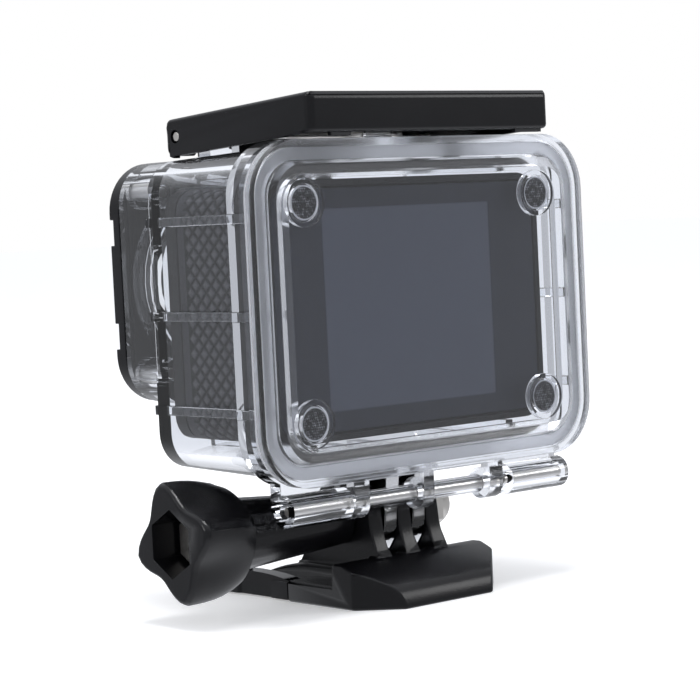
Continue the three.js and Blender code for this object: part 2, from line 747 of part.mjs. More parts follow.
function cameraFrame() {
  const outer = alongY(roundedRectangle(cameraWidth, cameraHeight, cameraCorner), frameFrontY, frameRearY);
  const inner = alongY(
    roundedRectangle(cameraWidth - 2 * cameraWall, cameraHeight - 2 * cameraWall, cameraCorner - cameraWall),
    frameFrontY - 1, frameRearY + 1,
  );
  const hole = cameraButtonRadius + gap;
  const shutterHole = bar('z', hole, 0, cameraHeight, [shutterX, shutterY - cameraRearY, 0]);
  const sideHoles = [-1, 1].map((side) => bar(
    'x', hole, -cameraWidth, -cameraWidth / 4, [0, sideButtonY - cameraRearY, side * sideButtonZ],
  ));
  const doorHole = block(
    [batteryX - batteryDoorHalf - gap, batteryFrontY - gap, -cameraHeight],
    [batteryX + batteryDoorHalf + gap, frameRearY - 2.4, -cameraHeight / 4],
  );
  return without(outer, inner, shutterHole, ...sideHoles, doorHole);
}

function frontCover() {
  const outline = roundedRectangle(cameraWidth, cameraHeight, cameraCorner);
  const cover = alongY(outline, -cameraDepth, frameFrontY - gap);
  const lensHole = bar('y', lensRadius + gap, -2 * cameraDepth, 0, [lensX, 0, lensZ], fineSides);
  const powerHole = bar('y', cameraButtonRadius + gap, -2 * cameraDepth, 0, [powerX, 0, powerZ]);
  return without(cover, lensHole, powerHole);
}

const lensBackY = batteryFrontY - gap;
const lensLength = cameraDepth + lensReach + lensBackY;
const lensFloor = 4;
const lensBevel = 2;

function lensBarrel() {
  const bore = lensGlassRadius + gap;
  const profile = [
    [0, 0],
    [lensRadius, 0],
    [lensRadius, lensLength - 1],
    [lensRadius - 1, lensLength],
    [bore + 1.1, lensLength],
    [bore, lensLength - lensBevel],
    [bore, lensFloor],
    [0, lensFloor],
  ];
  return placed(turned(profile, fineSides), 'front', [lensX, lensBackY, lensZ]);
}

// A domed front element.
function lensGlass() {
  const rim = lensLength - lensBevel - 2.6;
  const dome = 2.4;
  const steps = 4;
  const profile = [[0, rim - 2], [lensGlassRadius, rim - 2], [lensGlassRadius, rim]];
  for (let i = 1; i <= steps; i += 1) {
    const angle = (i / steps) * Math.PI / 2;
    profile.push([i === steps ? 0 : lensGlassRadius * Math.cos(angle), rim + dome * Math.sin(angle)]);
  }
  return placed(turned(profile, fineSides), 'front', [lensX, lensBackY, lensZ]);
}

const circuitBoard = () => block(
  [-cameraWidth / 2 + 4, frameRearY - 1.4 - boardThickness, -cameraHeight / 2 + 4],
  [cameraWidth / 2 - 4, frameRearY - 1.4, cameraHeight / 2 - 4],
);

const battery = () => block(
  [batteryX - batteryWidth / 2, batteryFrontY, -cameraHeight / 2 + cameraWall + 0.8],
  [batteryX + batteryWidth / 2, frameRearY - 3, cameraHeight / 2 - 6],
);

const batteryDoor = () => block(
  [batteryX - batteryDoorHalf, batteryFrontY, -cameraHeight / 2],
  [batteryX + batteryDoorHalf, frameRearY - 2.4 - gap, -cameraHeight / 2 + cameraWall - gap],
);

// A push button of the camera: +Z is outwards and 0 is the camera's face.
function cameraButton() {
  const profile = [
    [0, -2.2],
    [cameraButtonRadius, -2.2],
    [cameraButtonRadius, cameraButtonRise - 0.25],
    [cameraButtonRadius - 0.25, cameraButtonRise],
    [0, cameraButtonRise],
  ];
  return turned(profile, plainSides);
}

const cameraSideX = -cameraWidth / 2;
const pressY = sideButtonY - cameraRearY;
const cameraButtonSpots = [
  { name: 'shutter', facing: 'up', place: [shutterX, shutterY - cameraRearY, cameraHeight / 2] },
  { name: 'power', facing: 'front', place: [powerX, -cameraDepth, powerZ] },
  { name: 'up', facing: 'left', place: [cameraSideX, pressY, sideButtonZ] },
  { name: 'down', facing: 'left', place: [cameraSideX, pressY, -sideButtonZ] },
];

// ---- mount ----

// Prong outline: the round head on the thumb screw's axis, with flanks that sweep out into the buckle.
function buckleProng(x) {
  const footZ = railHeight + 0.4;
  const outline = new THREE.Shape();
  outline.moveTo(-13, footZ);
  outline.quadraticCurveTo(-prongRadius - 1, footZ + 3, -prongRadius, axisHeight);
  outline.absarc(0, axisHeight, prongRadius, Math.PI, 0, true);
  outline.quadraticCurveTo(prongRadius + 0.2, footZ + 5, 12, footZ);
  outline.closePath();
  return alongX(outline, x - prongThickness / 2, x + prongThickness / 2);
}

const armWidth = 3.4;
const armRootY = -9;
const gripFrontY = buckleRearY - gripLength;

// The thumb grip behind the prongs: seen from above its rear corners are cut off, and seen from the side
// its rear face leans forward to a crease, from where the top rises to the prongs.
function buckleGrip() {
  const half = buckleWidth / 2;
  const plan = new THREE.Shape();
  plan.moveTo(-half, gripFrontY);
  plan.lineTo(half, gripFrontY);
  plan.lineTo(half, buckleRearY - gripCorner);
  plan.lineTo(half - gripCorner, buckleRearY);
  plan.lineTo(-half + gripCorner, buckleRearY);
  plan.lineTo(-half, buckleRearY - gripCorner);
  plan.closePath();
  const creaseY = buckleRearY - gripLean;
  const brow = 1; // rounding of the grip's front top edge
  const profile = new THREE.Shape();
  profile.moveTo(gripFrontY, 0);
  profile.lineTo(buckleRearY, 0);
  profile.quadraticCurveTo(buckleRearY - 0.2 * gripLean, 0.7 * gripCrease, creaseY, gripCrease);
  profile.quadraticCurveTo(creaseY - 2.6, gripCrease + 1.8, gripFrontY + 2.5, gripHeight);
  profile.lineTo(gripFrontY + brow, gripHeight);
  profile.quadraticCurveTo(gripFrontY, gripHeight, gripFrontY, gripHeight - brow);
  profile.closePath();
  return alongX(profile, -half, half).intersect(alongZ(plan, -1, gripHeight + 1));
}

function buckleBase() {
  const half = buckleWidth / 2;
  const railFrontY = armRootY + 4.5;
  const innerHalf = half - armWidth - 2.2;
  const floorFrontY = buckleFrontY + 6;
  const rails = block([-half, railFrontY, 0], [half, gripFrontY + 1, railHeight]);
  const floor = block([-innerHalf, floorFrontY, 0], [innerHalf, gripFrontY + 1, railHeight]);
  const saddle = new THREE.Shape();
  saddle.moveTo(floorFrontY, 0);
  saddle.lineTo(gripFrontY + 4, 0);
  saddle.lineTo(gripFrontY + 4, 5.4);
  saddle.lineTo(-7, 5.4);
  saddle.quadraticCurveTo(-13, 5, floorFrontY, railHeight);
  saddle.closePath();
  const hump = alongX(saddle, -innerHalf + 0.6, innerHalf - 0.6);
  const prongs = [-1, 0, 1].map((step) => buckleProng(step * prongPitch));
  const shoulders = block([-half + 0.5, railFrontY, 0], [half - 0.5, gripFrontY + 1, railHeight + 0.5]);
  const hole = bar('x', boltHole, -half, half, [0, 0, axisHeight]);
  return joined(rails, floor, hump, shoulders, buckleGrip(), ...prongs).subtract(hole);
}

// A spring arm beside the buckle's floor, with a latching foot at its front end.
function buckleArm(side) {
  const half = buckleWidth / 2;
  const outer = side * half;
  const inner = side * (half - armWidth);
  const [lowX, highX] = [Math.min(outer, inner), Math.max(outer, inner)];
  const rootY = armRootY + 4.5 - gap;
  const footLength = 7;
  const footY = buckleFrontY + footLength / 2;
  const footOutline = roundedRectangle(armWidth, footLength, 1.4, (lowX + highX) / 2, footY);
  const profile = new THREE.Shape();
  profile.moveTo(buckleFrontY + 3, gap);
  profile.lineTo(rootY, gap);
  profile.lineTo(rootY, railHeight + 0.4);
  profile.quadraticCurveTo(rootY - 5, railHeight + 1.6, buckleFrontY + 3, railHeight + 1.2);
  profile.closePath();
  const arm = alongX(profile, lowX + 0.4, highX - 0.4);
  const foot = alongZ(footOutline, gap, railHeight + 2.2);
  const root = block([lowX, armRootY, gap], [highX, rootY, railHeight + 0.2]);
  return joined(arm, foot, root);
}

// The knob's own shape: a turned body whose rim is drawn in between four lobes. The scallops fade out
// towards the rounded end that runs into the sleeve.
function knobBody(innerX) {
  const steps = 7;
  const profile = [[0, knobFaceX], [knobRadius - 1, knobFaceX], [knobRadius - 0.25, knobFaceX - 0.35]];
  for (let i = 0; i <= steps; i += 1) {
    const share = i / steps;
    const radius = sleeveThick - 0.4 + (knobRadius - sleeveThick + 0.4) * Math.sqrt(1 - share ** 2.6);
    profile.push([radius, knobFaceX - 1 - share * (knobLength - 1)]);
  }
  profile.push([0, innerX]);
  const points = profile.map(([radius, x]) => new THREE.Vector2(radius, x));
  const geometry = new THREE.LatheGeometry(points.reverse(), knobSides);
  const place = geometry.attributes.position;
  for (let i = 0; i < place.count; i += 1) {
    const angle = Math.atan2(place.getX(i), place.getZ(i)) - knobTurn;
    const share = (knobFaceX - place.getY(i)) / knobLength;
    const valley = ((1 - Math.cos(4 * angle)) / 2) ** 0.72;
    const drawn = 1 - scallopDepth * valley * (1 - share ** 2);
    place.setX(i, place.getX(i) * drawn);
    place.setZ(i, place.getZ(i) * drawn);
  }
  return solidOf(geometry.rotateZ(-Math.PI / 2));
}

function hexagon(flats) {
  const radius = flats / Math.sqrt(3);
  const outline = new THREE.Shape();
  for (let i = 0; i < 6; i += 1) {
    const angle = (i + 0.5) * Math.PI / 3;
    const [y, z] = [radius * Math.cos(angle), radius * Math.sin(angle)];
    if (i === 0) outline.moveTo(y, z);
    else outline.lineTo(y, z);
  }
  outline.closePath();
  return outline;
}

const prongSide = prongPitch + prongThickness / 2;
const boltHeadThickness = 3;
const boltHeadFlats = 8;

// The thumb screw's own origin is on its axis, in the mount's middle.
function thumbScrewHandle() {
  const innerX = knobFaceX - knobLength;
  const knob = knobBody(innerX);
  const sleeve = bar('x', sleeveThin, prongSide + gap, innerX + 0.5, [0, 0, 0], plainSides, sleeveThick);
  const socket = alongX(hexagon(hexFlats), knobFaceX - hexDepth, knobFaceX + 1);
  const bore = bar('x', boltRadius + gap, 0, knobFaceX);
  return without(knob.add(sleeve), socket, bore);
}

function thumbScrewBolt() {
  const floorX = knobFaceX - hexDepth + gap;
  const head = alongX(hexagon(boltHeadFlats), floorX, floorX + boltHeadThickness);
  const shank = bar('x', boltRadius, -prongSide - nutHexLength, floorX + 0.5, [0, 0, 0]);
  return head.add(shank);
}

// An acorn nut outside the last prong.
function acornNut() {
  const innerX = -prongSide - gap;
  const outerX = innerX - nutHexLength;
  const hex = alongX(hexagon(nutFlats), outerX, innerX);
  const radius = nutFlats / 2 - 0.15;
  const dome = solidOf(new THREE.SphereGeometry(radius, plainSides, smallSides).translate(outerX, 0, 0));
  const bore = bar('x', boltRadius + gap, outerX - 0.6, innerX + 1);
  return hex.add(dome).subtract(bore);
}

// ---- assembly ----

const mount = new THREE.Group();
part('buckle', buckleBase(), 'black', mount);
part('buckle_arm_left', buckleArm(-1), 'black', mount);
part('buckle_arm_right', buckleArm(1), 'black', mount);

const clamp = new THREE.Group();
clamp.position.set(0, 0, axisHeight);
part('thumb_screw_handle', thumbScrewHandle(), 'black', clamp);
part('thumb_screw_bolt', thumbScrewBolt(), 'steel', clamp);
part('acorn_nut', acornNut(), 'steel', clamp);

const caseGroup = new THREE.Group();
caseGroup.position.set(0, seamBehindAxis, axisHeight + caseRise);
part('case_body', caseBody(), 'clear', caseGroup);
part('port_glass', portGlass(), 'clear', caseGroup);
part('port_seal', portSeal(), 'rubber', caseGroup);
part('front_plate', frontPlate(), 'black', caseGroup);
plateScrewSpots.forEach((spot, index) => {
  part(`plate_screw_${index + 1}`, plateScrew(spot), 'steel', caseGroup);
});
part('case_door', caseDoor(), 'clear', caseGroup);
part('door_gasket', doorGasket(), 'rubber', caseGroup);
padSpots.forEach((spot, index) => part(`door_pad_${index + 1}`, doorPad(spot), 'rubber', caseGroup));
part('hinge_pin', hingePin(), 'steel', caseGroup);

for (const spot of plungerSpots) {
  part(`${spot.name}_plunger`, placed(plunger(spot), spot.facing, spot.place), 'black', caseGroup);
  part(`${spot.name}_seal`, placed(plungerSeal(), spot.facing, spot.place), 'rubber', caseGroup);
  const spring = coilSpring(bossHeight - springPocket + gap, capBottom - gap);
  part(`${spot.name}_spring`, placed(spring, spot.facing, spot.place), 'steel', caseGroup);
}

const latch = new THREE.Group();
latch.position.set(0, latchPinY, latchPinZ);
part('latch_lever', latchLever(), 'black', latch);
part('latch_pin', latchPin(), 'steel', latch);
caseGroup.add(latch);

const camera = new THREE.Group();
camera.position.set(0, cameraRearY, 0);
part('camera_rear_cover', rearCover(), 'shell', camera);
part('screen_glass', screenGlass(), 'glass', camera);
part('lcd_panel', lcdPanel(), 'screen', camera);
part('camera_frame', cameraFrame(), 'shell', camera);
part('camera_front_cover', frontCover(), 'shell', camera);
part('lens_barrel', lensBarrel(), 'black', camera);
part('lens_glass', lensGlass(), 'glass', camera);
part('circuit_board', circuitBoard(), 'board', camera);
part('battery', battery(), 'battery', camera);
part('battery_door', batteryDoor(), 'shell', camera);
for (const spot of cameraButtonSpots) {
  part(`camera_${spot.name}_button`, placed(cameraButton(), spot.facing, spot.place), 'shell', camera);
}
caseGroup.add(camera);

const actionCamera = new THREE.Group();
actionCamera.add(mount, clamp, caseGroup);

export default actionCamera;
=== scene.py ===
# Action camera in its clear diving case, on a quick-release mount. Metres, in the CAD's frame.
import json
import math
import bmesh
import bpy
from mathutils import Matrix, Vector


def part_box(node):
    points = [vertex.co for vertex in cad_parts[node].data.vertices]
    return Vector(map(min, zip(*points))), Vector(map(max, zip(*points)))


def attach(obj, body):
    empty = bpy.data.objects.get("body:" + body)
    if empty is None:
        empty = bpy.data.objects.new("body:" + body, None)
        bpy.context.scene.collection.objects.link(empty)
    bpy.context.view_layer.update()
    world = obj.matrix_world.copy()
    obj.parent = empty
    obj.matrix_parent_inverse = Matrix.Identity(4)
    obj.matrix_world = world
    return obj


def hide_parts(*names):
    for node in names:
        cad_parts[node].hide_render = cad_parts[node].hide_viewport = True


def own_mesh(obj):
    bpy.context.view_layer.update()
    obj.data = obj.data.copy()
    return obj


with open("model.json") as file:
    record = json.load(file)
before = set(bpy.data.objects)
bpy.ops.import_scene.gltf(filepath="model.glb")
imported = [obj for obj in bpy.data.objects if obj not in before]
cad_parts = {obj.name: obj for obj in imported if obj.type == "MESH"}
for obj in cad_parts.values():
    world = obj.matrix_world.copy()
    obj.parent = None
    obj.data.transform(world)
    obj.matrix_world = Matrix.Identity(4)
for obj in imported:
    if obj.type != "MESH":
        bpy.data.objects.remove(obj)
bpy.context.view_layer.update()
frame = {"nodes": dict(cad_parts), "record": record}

nodes = frame["nodes"]
mm = 0.001
print("frame loaded:", len(nodes), "nodes")


# shader tools

class Wire:
    # one socket, with arithmetic that lays Math nodes
    def __init__(self, tree, socket):
        self.tree = tree
        self.socket = socket

    def math(self, operation, *others):
        node = self.tree.nodes.new("ShaderNodeMath")
        node.operation = operation
        for entry, value in zip(node.inputs, (self, *others)):
            plug(self.tree, entry, value)
        return Wire(self.tree, node.outputs[0])

    def __add__(self, other):
        return self.math("ADD", other)

    def __sub__(self, other):
        return self.math("SUBTRACT", other)

    def __mul__(self, other):
        return self.math("MULTIPLY", other)

    def __neg__(self):
        return self.math("MULTIPLY", -1.0)

    def __rsub__(self, other):
        return (-self) + other

    __radd__ = __add__
    __rmul__ = __mul__

    def sin(self):
        return self.math("SINE")

    def abs(self):
        return self.math("ABSOLUTE")

    def lesser(self, other):
        return self.math("MINIMUM", other)

    def greater(self, other):
        return self.math("MAXIMUM", other)

    def above(self, edge):
        return self.math("GREATER_THAN", edge)

    def ramp(self, low, high):
        # 0 under low, 1 over high, smooth between them
        node = self.tree.nodes.new("ShaderNodeMapRange")
        node.interpolation_type = "SMOOTHSTEP"
        for name, value in (("Value", self), ("From Min", low), ("From Max", high)):
            plug(self.tree, node.inputs[name], value)
        return Wire(self.tree, node.outputs["Result"])


def plug(tree, entry, value):
    if isinstance(value, Wire):
        tree.links.new(value.socket, entry)
    elif entry.type == "RGBA":
        entry.default_value = (*value, 1.0) if len(value) == 3 else value
    else:
        entry.default_value = value


class Finish:
    # one material: its tree, its shader and the few nodes that every finish uses
    def __init__(self, name, colour, roughness, **settings):
        self.material = bpy.data.materials.new(name)
        self.material.use_nodes = True
        self.tree = self.material.node_tree
        self.shader = self.tree.nodes["Principled BSDF"]
        self.set(**{"Base Color": colour, "Roughness": roughness}, **settings)

    def set(self, **values):
        for name, value in values.items():
            plug(self.tree, self.shader.inputs[name.replace("_", " ")], value)

    def add(self, kind, settings=None, output=0, **values):
        node = self.tree.nodes.new("ShaderNode" + kind)
        for name, value in (settings or {}).items():
            setattr(node, name, value)
        for name, value in values.items():
            plug(self.tree, node.inputs[name.replace("_", " ")], value)
        return Wire(self.tree, node.outputs[output])

    def place(self):
        # the piece's own coordinates, in metres
        return self.add("TexCoord", output="Object")

    def parts(self, vector):
        node = self.tree.nodes.new("ShaderNodeSeparateXYZ")
        plug(self.tree, node.inputs[0], vector)
        return [Wire(self.tree, output) for output in node.outputs]

    def join(self, x, y, z):
        return self.add("CombineXYZ", X=x, Y=y, Z=z)

    def noise(self, scale, detail=3.0, vector=None):
        vector = vector or self.place()
        return self.add("TexNoise", Vector=vector, Scale=scale, Detail=detail, Roughness=0.55)

    def mix(self, share, first, second):
        node = self.tree.nodes.new("ShaderNodeMix")
        node.data_type = "RGBA"
        plug(self.tree, node.inputs["Factor"], share)
        plug(self.tree, node.inputs[6], first)
        plug(self.tree, node.inputs[7], second)
        return Wire(self.tree, node.outputs[2])

    def bump(self, height, distance, strength):
        self.set(Normal=self.add("Bump", Height=height, Distance=distance, Strength=strength))

    def edges(self, low, high):
        # 1 along outer edges
        node = self.tree.nodes.new("ShaderNodeNewGeometry")
        return Wire(self.tree, node.outputs["Pointiness"]).ramp(low, high)


# finishes

def clearPlastic(name, tint=(0.955, 0.967, 0.99), frost=None):
    finish = Finish(name, tint, 0.0, Transmission_Weight=1.0, IOR=1.49)
    roughness = finish.noise(90.0, 2.0).ramp(0.35, 0.75) * 0.012
    if frost:
        roughness = roughness + frost(finish)
    finish.set(Roughness=roughness)
    finish.bump(finish.noise(35.0, 1.0), 0.00004, 0.12)
    return finish.material


doorFrost = {"border": 6.0 * mm, "soft": 0.5 * mm, "roughness": 0.15}


def frostedBorder(finish):
    # the door's border is a little frosted and its window is clear
    x, y, z = finish.parts(finish.place())
    low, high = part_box("case_door")
    cameraLow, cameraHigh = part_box("camera_frame")
    middleZ = (cameraLow.z + cameraHigh.z) / 2
    besideX = high.x - doorFrost["border"]
    besideZ = high.z - middleZ - doorFrost["border"]
    outX = x.abs().ramp(besideX - doorFrost["soft"], besideX + doorFrost["soft"])
    outZ = (z - middleZ).abs().ramp(besideZ - doorFrost["soft"], besideZ + doorFrost["soft"])
    return outX.greater(outZ) * doorFrost["roughness"]


def milkyRubber():
    finish = Finish("milkyRubber", (0.95, 0.96, 0.99), 0.3, Transmission_Weight=0.8, IOR=1.42)
    finish.set(Roughness=finish.noise(500.0) * 0.15 + 0.35)
    finish.bump(finish.noise(1800.0), 0.00003, 0.4)
    return finish.material


def blackPlastic():
    colour = (0.0035, 0.0035, 0.0042)
    roughness = 0.16
    finish = Finish("blackPlastic", colour, roughness, Specular_IOR_Level=0.24)
    grain = finish.noise(2400.0, 4.0)
    cloud = finish.noise(60.0, 2.0)
    worn = finish.edges(0.51, 0.60)
    finish.set(**{
        "Base Color": finish.mix(worn * 0.35 + cloud * 0.15, colour, (0.009, 0.009, 0.011)),
        "Roughness": cloud * 0.12 + roughness - worn * 0.06,
    })
    finish.bump(grain, 0.00003, 0.5)
    return finish.material


def rubber():
    finish = Finish("rubber", (0.012, 0.012, 0.013), 0.6, Specular_IOR_Level=0.3)
    finish.set(Roughness=finish.noise(400.0) * 0.2 + 0.5)
    finish.bump(finish.noise(3000.0, 3.0), 0.00003, 0.6)
    return finish.material


def wovenPad():
    # the UV runs from -1 to 1 over the disc: a slanting weave inside, a pale moulded rim outside
    finish = Finish("wovenPad", (0.02, 0.02, 0.022), 0.75, Specular_IOR_Level=0.2)
    across, along, above = finish.parts(finish.add("TexCoord", output="UV"))
    turned = across * 0.8 + along * 0.6
    crossed = along * 0.8 - across * 0.6
    weave = ((turned * 26.0).sin() * (crossed * 34.0).sin()).ramp(-0.7, 0.8)
    mottle = finish.noise(1500.0, 3.0).ramp(0.4, 0.7)
    light = weave * mottle
    rim = (across * across + along * along).ramp(0.80, 0.86)
    cloth = finish.mix(light, (0.008, 0.008, 0.01), (0.3, 0.31, 0.34))
    finish.set(**{
        "Base Color": finish.mix(rim, cloth, (0.62, 0.63, 0.67)),
        "Roughness": 0.75 - rim * 0.45,
    })
    finish.bump(weave * (1.0 - rim), 0.00008, 0.7)
    return finish.material


def steel():
    roughness = 0.24
    finish = Finish("steel", (0.62, 0.6, 0.57), roughness, Metallic=1.0)
    x, y, z = finish.parts(finish.place())
    lines = finish.noise(1500.0, 2.0, finish.join(x * 0.05, y, z))
    finish.set(Roughness=lines * 0.22 + roughness)
    finish.bump(lines, 0.00002, 0.4)
    return finish.material


def cameraShell():
    # dark grey rubbery plastic, paler where it is rubbed along its edges
    colour = (0.03, 0.031, 0.037)
    finish = Finish("cameraShell", colour, 0.5, Specular_IOR_Level=0.12)
    worn = finish.edges(0.50, 0.58)
    finish.set(**{
        "Base Color": finish.mix(worn * 0.6, colour, (0.06, 0.061, 0.068)),
        "Roughness": finish.noise(350.0) * 0.2 + 0.45 - worn * 0.1,
    })
    finish.bump(finish.noise(2400.0, 3.0), 0.00003, 0.6)
    return finish.material


def gripRubber():
    # painted shade: the valleys between the pyramids are painted dark, and the colour grows paler up to
    # their points
    finish = Finish("gripRubber", (0.03, 0.031, 0.037), 0.5, Specular_IOR_Level=0.12)
    # painted shade: this mask darkens the grip from each pyramid's point down into the valleys
    peak = finish.add("Attribute", {"attribute_name": "peak"}, output="Fac").ramp(0.05, 0.75)
    finish.set(**{
        "Base Color": finish.mix(peak, (0.003, 0.003, 0.004), (0.1, 0.102, 0.115)),
        "Roughness": finish.noise(350.0) * 0.2 + 0.4,
    })
    finish.bump(finish.noise(2400.0, 3.0), 0.00003, 0.6)
    return finish.material


def cameraCover():
    finish = Finish("cameraCover", (0.012, 0.012, 0.014), 0.45, Specular_IOR_Level=0.2)
    finish.set(Roughness=finish.noise(300.0) * 0.15 + 0.4)
    finish.bump(finish.noise(2600.0, 3.0), 0.00003, 0.5)
    return finish.material


def screenGlass():
    # dark glass with a nearly black border, greyer and bluer where the display lies under it
    finish = Finish("screenGlass", (0.02, 0.021, 0.026), 0.05, Specular_IOR_Level=0.05)
    x, y, z = finish.parts(finish.place())
    low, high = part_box("lcd_panel")
    middle = (low + high) / 2
    half = (high - low) / 2
    blur = 0.2 * mm
    inX = 1.0 - (x - middle.x).abs().ramp(half.x - blur, half.x + blur)
    inZ = 1.0 - (z - middle.z).abs().ramp(half.z - blur, half.z + blur)
    shown = inX * inZ
    smudge = finish.noise(110.0, 3.0)
    display = finish.mix(smudge, (0.085, 0.095, 0.125), (0.095, 0.105, 0.14))
    finish.set(**{
        "Base Color": finish.mix(shown, (0.035, 0.038, 0.052), display),
        "Roughness": smudge * 0.1 + 0.12,
    })
    return finish.material


def lensCoating():
    finish = Finish("lensCoating", (0.01, 0.012, 0.03), 0.03, Coat_Weight=1.0, Coat_Roughness=0.02)
    face = finish.add("LayerWeight", Blend=0.35, output="Facing")
    finish.set(**{"Base Color": finish.mix(face, (0.02, 0.03, 0.09), (0.12, 0.03, 0.1))})
    return finish.material


def circuitBoard():
    finish = Finish("circuitBoard", (0.01, 0.1, 0.045), 0.4)
    tracks = finish.add("TexVoronoi", {"feature": "DISTANCE_TO_EDGE"}, Vector=finish.place(), Scale=320.0)
    line = 1.0 - tracks.ramp(0.02, 0.06)
    finish.set(**{
        "Base Color": finish.mix(line, (0.008, 0.085, 0.035), (0.45, 0.3, 0.08)),
        "Metallic": line * 0.8,
    })
    finish.bump(line, 0.00005, 0.5)
    return finish.material


def batterySleeve():
    finish = Finish("batterySleeve", (0.03, 0.1, 0.3), 0.35, Coat_Weight=0.3)
    x, y, z = finish.parts(finish.place())
    band = (z * 420.0).sin().ramp(0.7, 0.75)
    finish.set(**{
        "Base Color": finish.mix(band, (0.03, 0.1, 0.3), (0.75, 0.75, 0.72)),
        "Roughness": finish.noise(200.0) * 0.2 + 0.25,
    })
    return finish.material


clear = clearPlastic("clearCase")
clearDoor = clearPlastic("clearDoor", frost=frostedBorder)
portClear = clearPlastic("portClear", (0.98, 0.985, 0.99))
black = blackPlastic()
blackRubber = rubber()
milky = milkyRubber()
padWeave = wovenPad()
bright = steel()
shell = cameraShell()
grip = gripRubber()
cover = cameraCover()
screen = screenGlass()
lensBlue = lensCoating()
board = circuitBoard()
sleeve = batterySleeve()
print("finishes made")


# mesh tools

def pieceFrom(name, bm, material, body, slotName, replaced=(), smoothAngle=35):
    mesh = bpy.data.meshes.new(name)
    bmesh.ops.recalc_face_normals(bm, faces=bm.faces)
    bm.to_mesh(mesh)
    bm.free()
    mesh.materials.append(material)
    for face in mesh.polygons:
        face.use_smooth = True
    mesh.set_sharp_from_angle(angle=math.radians(smoothAngle))
    piece = bpy.data.objects.new(name, mesh)
    bpy.context.scene.collection.objects.link(piece)
    # wide faces stay flat up to their rounded edges
    flat = piece.modifiers.new("flatFaces", "WEIGHTED_NORMAL")
    flat.keep_sharp = True
    flat.weight = 100
    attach(piece, body)
    if replaced:
        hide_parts(*replaced)
    return piece


def bodyOf(node):
    for name, members in frame["record"]["behaviour"]["bodies"].items():
        if node in members:
            return name


def slotOf(node):
    for entry in frame["record"]["subparts"]:
        if entry["node"] == node:
            return entry["material_slot"]


def edgesOver(bm, angle):
    return [edge for edge in bm.edges if edge.is_manifold and edge.calc_face_angle(0) > angle]


def roundOff(bm, edges, width, segments, clamped=False, slide=False):
    bmesh.ops.bevel(
        bm, geom=edges, offset=width, offset_type="OFFSET", affect="EDGES", segments=segments,
        profile=0.5, material=-1, clamp_overlap=clamped, loop_slide=slide,
    )


rounding = {
    "weld": 0.004 * mm, "collapse": 0.002 * mm, "flatUnder": math.radians(1.0), "hardOver": math.radians(32),
    "sliver": 0.13 * mm,  # edges shorter than this don't stop a rounding
    "widthsBack": 2.1,  # how many widths a sideways edge needs
    "alongOver": 0.8,  # an edge whose direction agrees more than this isn't sideways
    "boreRoom": 2.2 * mm,  # round a pin, edges this near keep their hard edge
    "smoothUnder": 50,  # degrees
}
keptBores = {"latch_lever": "latch_pin"}  # a piece whose bore keeps its hard edges, and the pin in it


def roomFor(edge, width):
    # whether every edge that leaves this one sideways is long enough to be rounded back
    along = (edge.verts[1].co - edge.verts[0].co).normalized()
    for vert in edge.verts:
        for other in vert.link_edges:
            away = (other.other_vert(vert).co - vert.co).normalized()
            sideways = abs(away.dot(along)) < rounding["alongOver"]
            if sideways and rounding["sliver"] < other.calc_length() < rounding["widthsBack"] * width:
                return False
    return True


def nearPin(edge, pin):
    # whether the edge lies round the bore of a pin that runs from side to side
    low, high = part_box(pin)
    middle = (low + high) / 2
    reach = (high.y - low.y) / 2 + rounding["boreRoom"]
    return all(math.hypot(vert.co.y - middle.y, vert.co.z - middle.z) < reach for vert in edge.verts)


def softEdged(node, material, width, segments=2, clamped=True):
    # the node's own shape, welded into whole faces, with its hard edges rounded off
    bm = bmesh.new()
    bm.from_mesh(nodes[node].data)
    bmesh.ops.remove_doubles(bm, verts=bm.verts, dist=rounding["weld"])
    bmesh.ops.dissolve_degenerate(bm, edges=bm.edges, dist=rounding["collapse"])
    bmesh.ops.dissolve_limit(bm, angle_limit=rounding["flatUnder"], verts=bm.verts, edges=bm.edges)
    if width:
        chosen = [edge for edge in edgesOver(bm, rounding["hardOver"]) if roomFor(edge, width)]
        if node in keptBores:
            chosen = [edge for edge in chosen if not nearPin(edge, keptBores[node])]
        roundOff(bm, chosen, width, segments, clamped, slide=True)
        low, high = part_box(node)
        for vert in bm.verts:
            # a rounding never reaches past the node's own box
            vert.co = [min(max(vert.co[axis], low[axis]), high[axis]) for axis in range(3)]
    return pieceFrom(
        node + "_finished", bm, material, bodyOf(node), slotOf(node), (node,), rounding["smoothUnder"],
    )


# pieces

soft = {
    "case_body": (clear, 0.18 * mm, 2),
    "case_door": (clearDoor, 0.18 * mm, 2),
    "port_glass": (portClear, 0.15 * mm, 1),
    "front_plate": (black, 0.25 * mm, 2),
    "latch_lever": (black, 0.7 * mm, 4),
    "buckle": (black, 0.4 * mm, 3),
    "buckle_arm_left": (black, 0.25 * mm, 2),
    "buckle_arm_right": (black, 0.25 * mm, 2),
    "thumb_screw_handle": (black, 0.5 * mm, 3),
    "thumb_screw_bolt": (bright, 0.2 * mm, 2),
    "acorn_nut": (bright, 0.2 * mm, 2),
    "hinge_pin": (bright, 0.15 * mm, 2),
    "latch_pin": (bright, 0.15 * mm, 2),
    "camera_frame": (shell, 0.15 * mm, 2),
    "camera_rear_cover": (cover, 0.2 * mm, 2),
    "camera_front_cover": (cover, 0.3 * mm, 2),
    "screen_glass": (screen, 0.2 * mm, 2),
    "lens_barrel": (black, 0.2 * mm, 2),
    "lens_glass": (lensBlue, 0.1 * mm, 1),
    "battery_door": (cover, 0.2 * mm, 2),
    "battery": (sleeve, 0.8 * mm, 3),
    "circuit_board": (board, 0.1 * mm, 1),
    "lcd_panel": (cover, 0.1 * mm, 1),
    "door_gasket": (milky, 0.1 * mm, 2),
    "port_seal": (blackRubber, 0.1 * mm, 2),
}
for number in range(1, 5):
    soft[f"plate_screw_{number}"] = (bright, 0.12 * mm, 2)
wideEdged = ("latch_lever", "buckle")
